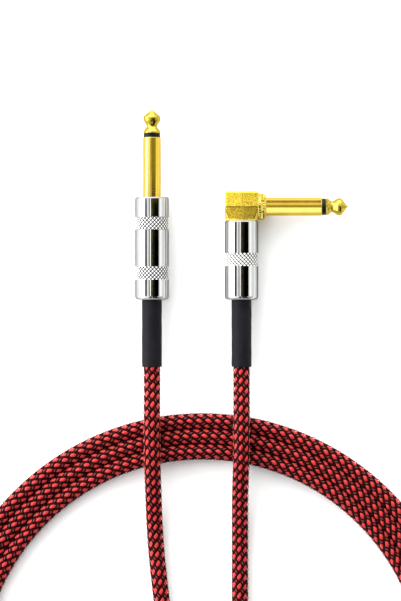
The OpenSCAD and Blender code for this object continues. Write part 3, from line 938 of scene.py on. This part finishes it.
def make_angled_sleeve(materials):
    """Ground sleeve with its ribbed collar and the stem that goes into the elbow."""
    stem_rear = -COLLAR_LENGTH - STEM_LENGTH
    outline = [(SLEEVE_BORE_R, stem_rear), (STEM_R, stem_rear), (STEM_R, -COLLAR_LENGTH)]
    outline += [(COLLAR_R - 0.15, -COLLAR_LENGTH), (COLLAR_R, -COLLAR_LENGTH + 0.15)]
    outline += fine_wall(COLLAR_R, -COLLAR_LENGTH + 0.85, -COLLAR_EDGE, 0.15)
    outline += rounded((COLLAR_R - COLLAR_EDGE, -COLLAR_EDGE), COLLAR_EDGE, 0, 90, 9)
    outline += [(SLEEVE_R + 0.1, 0)] + sleeve_wall(ANGLED_SHAFT)
    make_piece(
        "angled_sleeve", turned(outline, ON_SIDE, 256, relief=collar_ribs), materials["gold_plate"],
        "cable", ["angled_ground_sleeve"],
    )


def elbow_radius(angle, height):
    """Distance from the axis to the block's skin, painted crease shade values, and where the drafted
    faces are.

    The skin is the least of three: the flat flanks, the faces towards the front and back, which
    lean in below the fold, and a cone that opens from the round flange to the square corners.
    """
    low = np.clip((height - ELBOW_BASE) / (FACET_HEIGHT - ELBOW_BASE), 0, 1)
    chamfer = np.clip(height - (ELBOW_HEIGHT - ELBOW_CHAMFER), 0, None)
    sideways = np.maximum(np.abs(np.cos(angle)), 1e-6)
    upwards = np.maximum(np.abs(np.sin(angle)), 1e-6)
    off_seam = np.clip(ELBOW_HALF / np.maximum(np.abs(np.tan(angle)), 1e-6), 0, ELBOW_HALF)
    inset = FACET_INSET * (1 - low) + chamfer + ELBOW_DRAFT * off_seam
    flank = (ELBOW_HALF - chamfer) / sideways
    facet = (ELBOW_HALF - inset) / upwards
    cone = ELBOW_HALF + 0.05 + (ELBOW_HALF * (math.sqrt(2) - 1) - 0.05) * low + 0 * angle
    limits = np.stack(np.broadcast_arrays(flank, facet, cone))
    radius = (limits ** -EDGE_SHARPNESS).sum(axis=0) ** (-1 / EDGE_SHARPNESS)
    ordered = np.sort(limits, axis=0)
    # Painted shade along the edges where two faces meet and along the fold, fainter above the facets
    near = np.exp(-((ordered[1] - ordered[0]) / CREASE_SHADE_WIDTH) ** 2)
    on_facet = facet <= np.minimum(flank, cone) + 0.02
    fold = np.exp(-((height - FACET_HEIGHT) / CREASE_SHADE_WIDTH) ** 2) * on_facet
    below = 1 - smoothstep(FACET_HEIGHT - 0.2, FACET_HEIGHT + 0.2, height)
    strength = FAINT_CREASE_SHADE + (1 - FAINT_CREASE_SHADE) * below
    return radius, np.maximum(near * strength, fold), on_facet


def parting_line(x):
    """1 in the middle of the sunken parting line where the casting's halves meet, 0 away from it; this
    also sets the painted shade along that line.
    """
    return np.clip(1 - np.abs(x - PARTING_X) / PARTING_HALF, 0, 1)


def elbow_block():
    """The block's shape, and its painted crease shade values from 0 to 1: painted shade along its
    edges, its fold and its parting line.
    """
    chamfer_low = ELBOW_HEIGHT - ELBOW_CHAMFER
    side_heights = steps(ELBOW_BASE + 0.05, chamfer_low, 0.15)
    heights = [ELBOW_BASE, *side_heights, *steps(chamfer_low + 0.1, ELBOW_HEIGHT, 0.1)]
    angle = TURN * (np.arange(ELBOW_SEGMENTS)[None, :] + 0.5) / ELBOW_SEGMENTS
    radius, painted_crease_shade, on_facet = elbow_radius(angle, np.array(heights)[:, None])
    seam = parting_line(radius * np.cos(angle)) * on_facet
    radius = radius - PARTING_DEPTH * seam
    painted_crease_shade = np.maximum(painted_crease_shade, SEAM_SHADE * seam)
    flange = [(ELBOW_BORE_R, 0.05), (ELBOW_HALF - 0.15, 0.05), (ELBOW_HALF, 0.18)]
    flange += [(ELBOW_HALF, ELBOW_BASE - 0.12)]
    whole_row = np.ones(ELBOW_SEGMENTS)
    rows = [(r * whole_row, z * whole_row, 0 * whole_row) for r, z in flange]
    rows += [(radius[i], z * whole_row, painted_crease_shade[i]) for i, z in enumerate(heights)]
    for share in (0.98, 0.9, 0.7, 0.5, 0.3, 0.1, 0.0):
        top_r = radius[-1] * share
        top_seam = parting_line(top_r * np.cos(angle[0]))
        rows.append((top_r, ELBOW_HEIGHT - PARTING_DEPTH * top_seam, SEAM_SHADE * top_seam))
    r, z, shade = [np.stack(column) for column in zip(*rows)]
    local = np.stack([r * np.cos(angle), r * np.sin(angle), z], axis=-1).reshape(-1, 3)
    faces = grid_faces(len(rows), ELBOW_SEGMENTS, close_columns=True)
    return (transform(local, ON_ANGLED), faces), shade.ravel()


def make_elbow(materials):
    """Cast block on a round flange, with a parting line over its front, top and back."""
    block, shade = elbow_block()
    outline = [(ELBOW_BORE_R, 0.05), (ELBOW_BORE_R, -ANGLED_STUB), (STUB_R - 0.2, -ANGLED_STUB)]
    outline += fine_wall(STUB_R, -ANGLED_STUB + 0.2, 0.05, THREAD_STEP)
    screw = thread(STUB_R, -ANGLED_STUB, 0.3, outward=False)
    stub = turned(outline, ON_ANGLED, relief=screw, closed=False)
    elbow = make_piece(
        "elbow_casting", combine([block, stub]), materials["cast_gold"], "cable",
        ["angled_elbow"], sharp_angle=30,
    )
    # The painted crease shade goes to the material as a value per point
    set_values(elbow, "painted_crease_shade", np.concatenate([shade, np.zeros(len(stub[0]))]))


def make_heatshrink(side, place, barrel, materials):
    """Shrunk tube whose wall follows what it covers a little unevenly, with soft cut ends."""
    low = -barrel - SHRINK_LENGTH
    high = SHRINK_STARTS[side]
    inner = CORD_D / 2 + 0.05
    outline = [(inner, low), (inner + 0.1, low), (SHRINK_R - 0.25, low), (SHRINK_R - 0.08, low + 0.12)]
    outline += wall(SHRINK_R, low + 0.4, high - 0.2, 0.5)
    outline += [(SHRINK_R - 0.1, high), (inner, high)]

    def relief(angle, r, z):
        on_skin = r > SHRINK_R - 0.01
        ripple = 0.5 * np.sin(3 * angle + 0.9 * z) + 0.5 * np.sin(2 * angle - 0.37 * z + 1.3)
        return SHRINK_RIPPLE * (ripple - 1) * on_skin

    make_piece(
        f"{side}_shrunk_sleeve", turned(outline, place, 96, relief=relief), materials["heatshrink"],
        "cable", [f"{side}_heatshrink"],
    )


# ---- Tie ----

def on_loop(distance, half_flat, radius):
    """Point and outward direction at a distance round a flat loop with two round ends.

    The second half of the loop is the first, turned half way round.
    """
    flat = 2 * half_flat
    half_loop = flat + math.pi * radius
    way = 1 if distance < half_loop else -1
    distance = distance % half_loop
    if distance < flat:
        point, out = (distance - half_flat, radius), (0, 1)
    else:
        turn = math.pi / 2 - (distance - flat) / radius
        out = (math.cos(turn), math.sin(turn))
        point = (half_flat + radius * out[0], radius * out[1])
    return way * np.array(point), way * np.array(out)


def make_tie(materials):
    """Woven strap round the three turns, its end lapped on top."""
    centre = np.array([COIL_CENTRE[0] - COIL_R[1], COIL_Z])
    half_flat = COIL_R[1] - COIL_R[0]
    radius = CORD_D / 2 + TIE_THICKNESS / 2
    once_round = 2 * (2 * half_flat + math.pi * radius)
    total = once_round + TIE_LAP
    run = np.linspace(0, total, round(total / TIE_STEP))
    path, normal = [], []
    for distance in run:
        point, out = on_loop(distance % once_round, half_flat, radius)
        lift = TIE_THICKNESS * smoothstep(*TIE_CLIMB, distance - once_round)
        path.append(centre + point + lift * out)
        normal.append(out)
    path, normal = np.array(path), np.array(normal)
    across = np.linspace(-TIE_WIDTH / 2, TIE_WIDTH / 2, TIE_COLUMNS)
    weave = np.cos(TURN * run[:, None] / WEAVE_PITCH) * np.cos(TURN * across[None, :] / WEAVE_PITCH)
    sides = []
    for face in (1, -1):
        offset = face * (TIE_THICKNESS / 2 - WEAVE_INSET + WEAVE_DEPTH * weave)
        spot = path[:, None, :] + normal[:, None, :] * offset[..., None]
        y = COIL_CENTRE[1] + across[None, :] + 0 * offset
        sides.append(np.stack([spot[..., 0], y, spot[..., 1]], axis=-1))
    loop = np.concatenate([sides[0], sides[1][:, ::-1]], axis=1)
    shape = loop.reshape(-1, 3), grid_faces(loop.shape[0], loop.shape[1], close_columns=True)
    return make_piece("strap_tie", shape, materials["strap"], "cable", ["cord_tie"])


# ---- Scene ----

def make_camera():
    """Camera straight above the plugs, as far off as a long lens needs."""
    data = bpy.data.cameras.new("camera")
    data.sensor_width = SENSOR
    data.lens = SENSOR * CAMERA_ABOVE_AXES / VIEW_HEIGHT
    data.clip_start = 0.05
    data.clip_end = 20
    camera = bpy.data.objects.new("camera", data)
    camera.location = (VIEW_CENTRE[0] * MM, VIEW_CENTRE[1] * MM, (AXIS_Z + CAMERA_ABOVE_AXES) * MM)
    bpy.context.scene.collection.objects.link(camera)
    bpy.context.scene.camera = camera


def make_floor():
    """Plain pale floor that the cable lies on."""
    mesh = bpy.data.meshes.new("floor")
    corners = [(FLOOR_HALF * x, FLOOR_HALF * y, 0) for x, y in ((-1, -1), (1, -1), (1, 1), (-1, 1))]
    mesh.from_pydata(corners, [], [(0, 1, 2, 3)])
    floor = bpy.data.objects.new("floor", mesh)
    bpy.context.scene.collection.objects.link(floor)
    material, tree, shader = new_material("pale_floor")
    mottle = noise(tree, place_coords(tree), 30, 4)
    fill_all(tree, shader, {
        "Base Color": ramp(tree, mottle, [(0.3, 0.94), (0.7, 0.96)]),
        "Roughness": 0.9,
        "Specular IOR Level": 0.1,
    })
    mesh.materials.append(material)


def flag_ramp(tree, component, height, flags):
    """Light of the studio by angle from straight up, in degrees, from (start, end, colour) flags."""
    degrees = calc(tree, "DEGREES", calc(tree, "ARCTAN2", component, height))
    share = calc(tree, "DIVIDE", calc(tree, "ADD", degrees, 180), 360)
    colours = [np.broadcast_to(colour, 3) for _, _, colour in flags]
    brightest = float(np.max(colours))
    stops = []
    for (start, end, _), colour in zip(flags, colours):
        dimmed = tuple((colour / brightest).tolist())
        stops += [((angle + 180) / 360, dimmed) for angle in (start + FLAG_EDGE, end - FLAG_EDGE)]
    sockets = {0: ramp(tree, share, stops), 3: brightest}
    return put(tree, "ShaderNodeVectorMath", sockets, operation="SCALE").outputs[0]


def inside(tree, value, span):
    """1 where the value lies in a span of (low, high, soft), falling to 0 over soft outside it."""
    low, high, soft = span
    rise = calc(tree, "DIVIDE", calc(tree, "SUBTRACT", value, low - soft), soft, clamp=True)
    fall = calc(tree, "DIVIDE", calc(tree, "SUBTRACT", high + soft, value), soft, clamp=True)
    return calc(tree, "MULTIPLY", rise, fall)


def room_light(tree, x, y):
    """White room, brighter to the upper left, with two low windows and a dark card in front."""
    slope_x = calc(tree, "MULTIPLY", x, ROOM_SLOPE[0])
    slope_y = calc(tree, "MULTIPLY", y, ROOM_SLOPE[1])
    level = calc(tree, "ADD", calc(tree, "ADD", slope_x, slope_y), ROOM_LEVEL)
    in_window = calc(tree, "MAXIMUM", inside(tree, x, LEFT_WINDOW_X), inside(tree, y, REAR_WINDOW_Y))
    windows = calc(tree, "MULTIPLY", in_window, WINDOW_LIGHT)
    light = calc(tree, "ADD", calc(tree, "MAXIMUM", level, ROOM_LEAST), windows)
    card = calc(tree, "MULTIPLY", inside(tree, x, CARD_X), inside(tree, y, CARD_Y))
    return blend_colour(tree, card, light, CARD_GREY)


def make_world():
    """The room, with strips of dark flags and tinted panels over the barrels and both shafts.

    The strips are only narrow bands of the studio, so they show in the metal and light little else.
    What lies behind the floor's edge is plain and pale.
    """
    world = bpy.data.worlds.new("studio")
    bpy.context.scene.world = world
    world.use_nodes = True
    tree = world.node_tree
    direction = put(tree, "ShaderNodeTexCoord").outputs["Generated"]
    parts = put(tree, "ShaderNodeSeparateXYZ", {"Vector": direction}).outputs
    x, y, z = parts["X"], parts["Y"], parts["Z"]
    over_barrels = flag_ramp(tree, x, z, BARREL_FLAGS)
    over_straight_shaft = flag_ramp(tree, x, z, STRAIGHT_SHAFT_FLAGS)
    over_side_shaft = flag_ramp(tree, y, z, SIDE_SHAFT_FLAGS)
    strip = blend_colour(tree, inside(tree, y, STRAIGHT_SHAFT_Y), over_barrels, over_straight_shaft)
    studio = room_light(tree, x, y)
    studio = blend_colour(tree, inside(tree, y, BARREL_STRIP_Y), studio, strip)
    studio = blend_colour(tree, inside(tree, x, SIDE_SHAFT_X), studio, over_side_shaft)
    seen = put(tree, "ShaderNodeLightPath").outputs["Is Camera Ray"]
    light = blend_colour(tree, seen, studio, BACKDROP)
    fill(tree, tree.nodes["Background"].inputs["Color"], light)


def make_softbox(name, location):
    """Square lamp that faces the frame's origin."""
    data = bpy.data.lights.new(name, "AREA")
    data.size = SOFTBOX_SIZE
    data.energy = SOFTBOX_POWER
    light = bpy.data.objects.new(name, data)
    light.location = location
    light.rotation_euler = light.location.to_track_quat("Z", "Y").to_euler()
    bpy.context.scene.collection.objects.link(light)


def finish_cad_nodes(frame, materials):
    """Gives each CAD node that is still shown the material of its slot."""
    slots = {part["node"]: part["material_slot"] for part in frame["record"]["subparts"]}
    for name, node in frame["nodes"].items():
        if not node.hide_render:
            node.data.materials.clear()
            node.data.materials.append(materials[slots[name]])


def keep_plugs_unmirrored():
    """Leaves all pieces but the cord out of reflections, as if each plug had been lit by itself."""
    for piece in bpy.data.objects:
        if piece.type == "MESH" and not piece.name.startswith("cord"):
            piece.visible_glossy = False


def main():
    """Builds the scene round the frame, camera and cord first."""
    for obj in list(bpy.data.objects):
        bpy.data.objects.remove(obj)
    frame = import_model()
    bpy.context.scene.view_settings.view_transform = "Standard"
    make_camera()
    materials = make_materials()
    cord, red_yarn, line, along = make_cord(materials)
    tie = make_tie(materials)
    make_barrel("straight", ON_STRAIGHT, STRAIGHT_BARREL, STRAIGHT_KNURLS, STRAIGHT_STUB, materials)
    make_barrel("angled", ON_ANGLED, ANGLED_BARREL, ANGLED_KNURLS, ANGLED_STUB, materials)
    make_shaft("straight", ON_STRAIGHT, STRAIGHT_SHAFT, STRAIGHT_ROD_REAR, materials)
    make_shaft("angled", ON_SIDE, ANGLED_SHAFT, ANGLED_ROD_REAR, materials)
    make_straight_sleeve(materials)
    make_angled_sleeve(materials)
    make_elbow(materials)
    make_heatshrink("straight", ON_STRAIGHT, STRAIGHT_BARREL, materials)
    make_heatshrink("angled", ON_ANGLED, ANGLED_BARREL, materials)
    keep_plugs_unmirrored()
    finish_cad_nodes(frame, materials)
    make_floor()
    make_world()
    make_softbox("left_softbox", LEFT_SOFTBOX)
    make_softbox("top_softbox", TOP_SOFTBOX)


main()
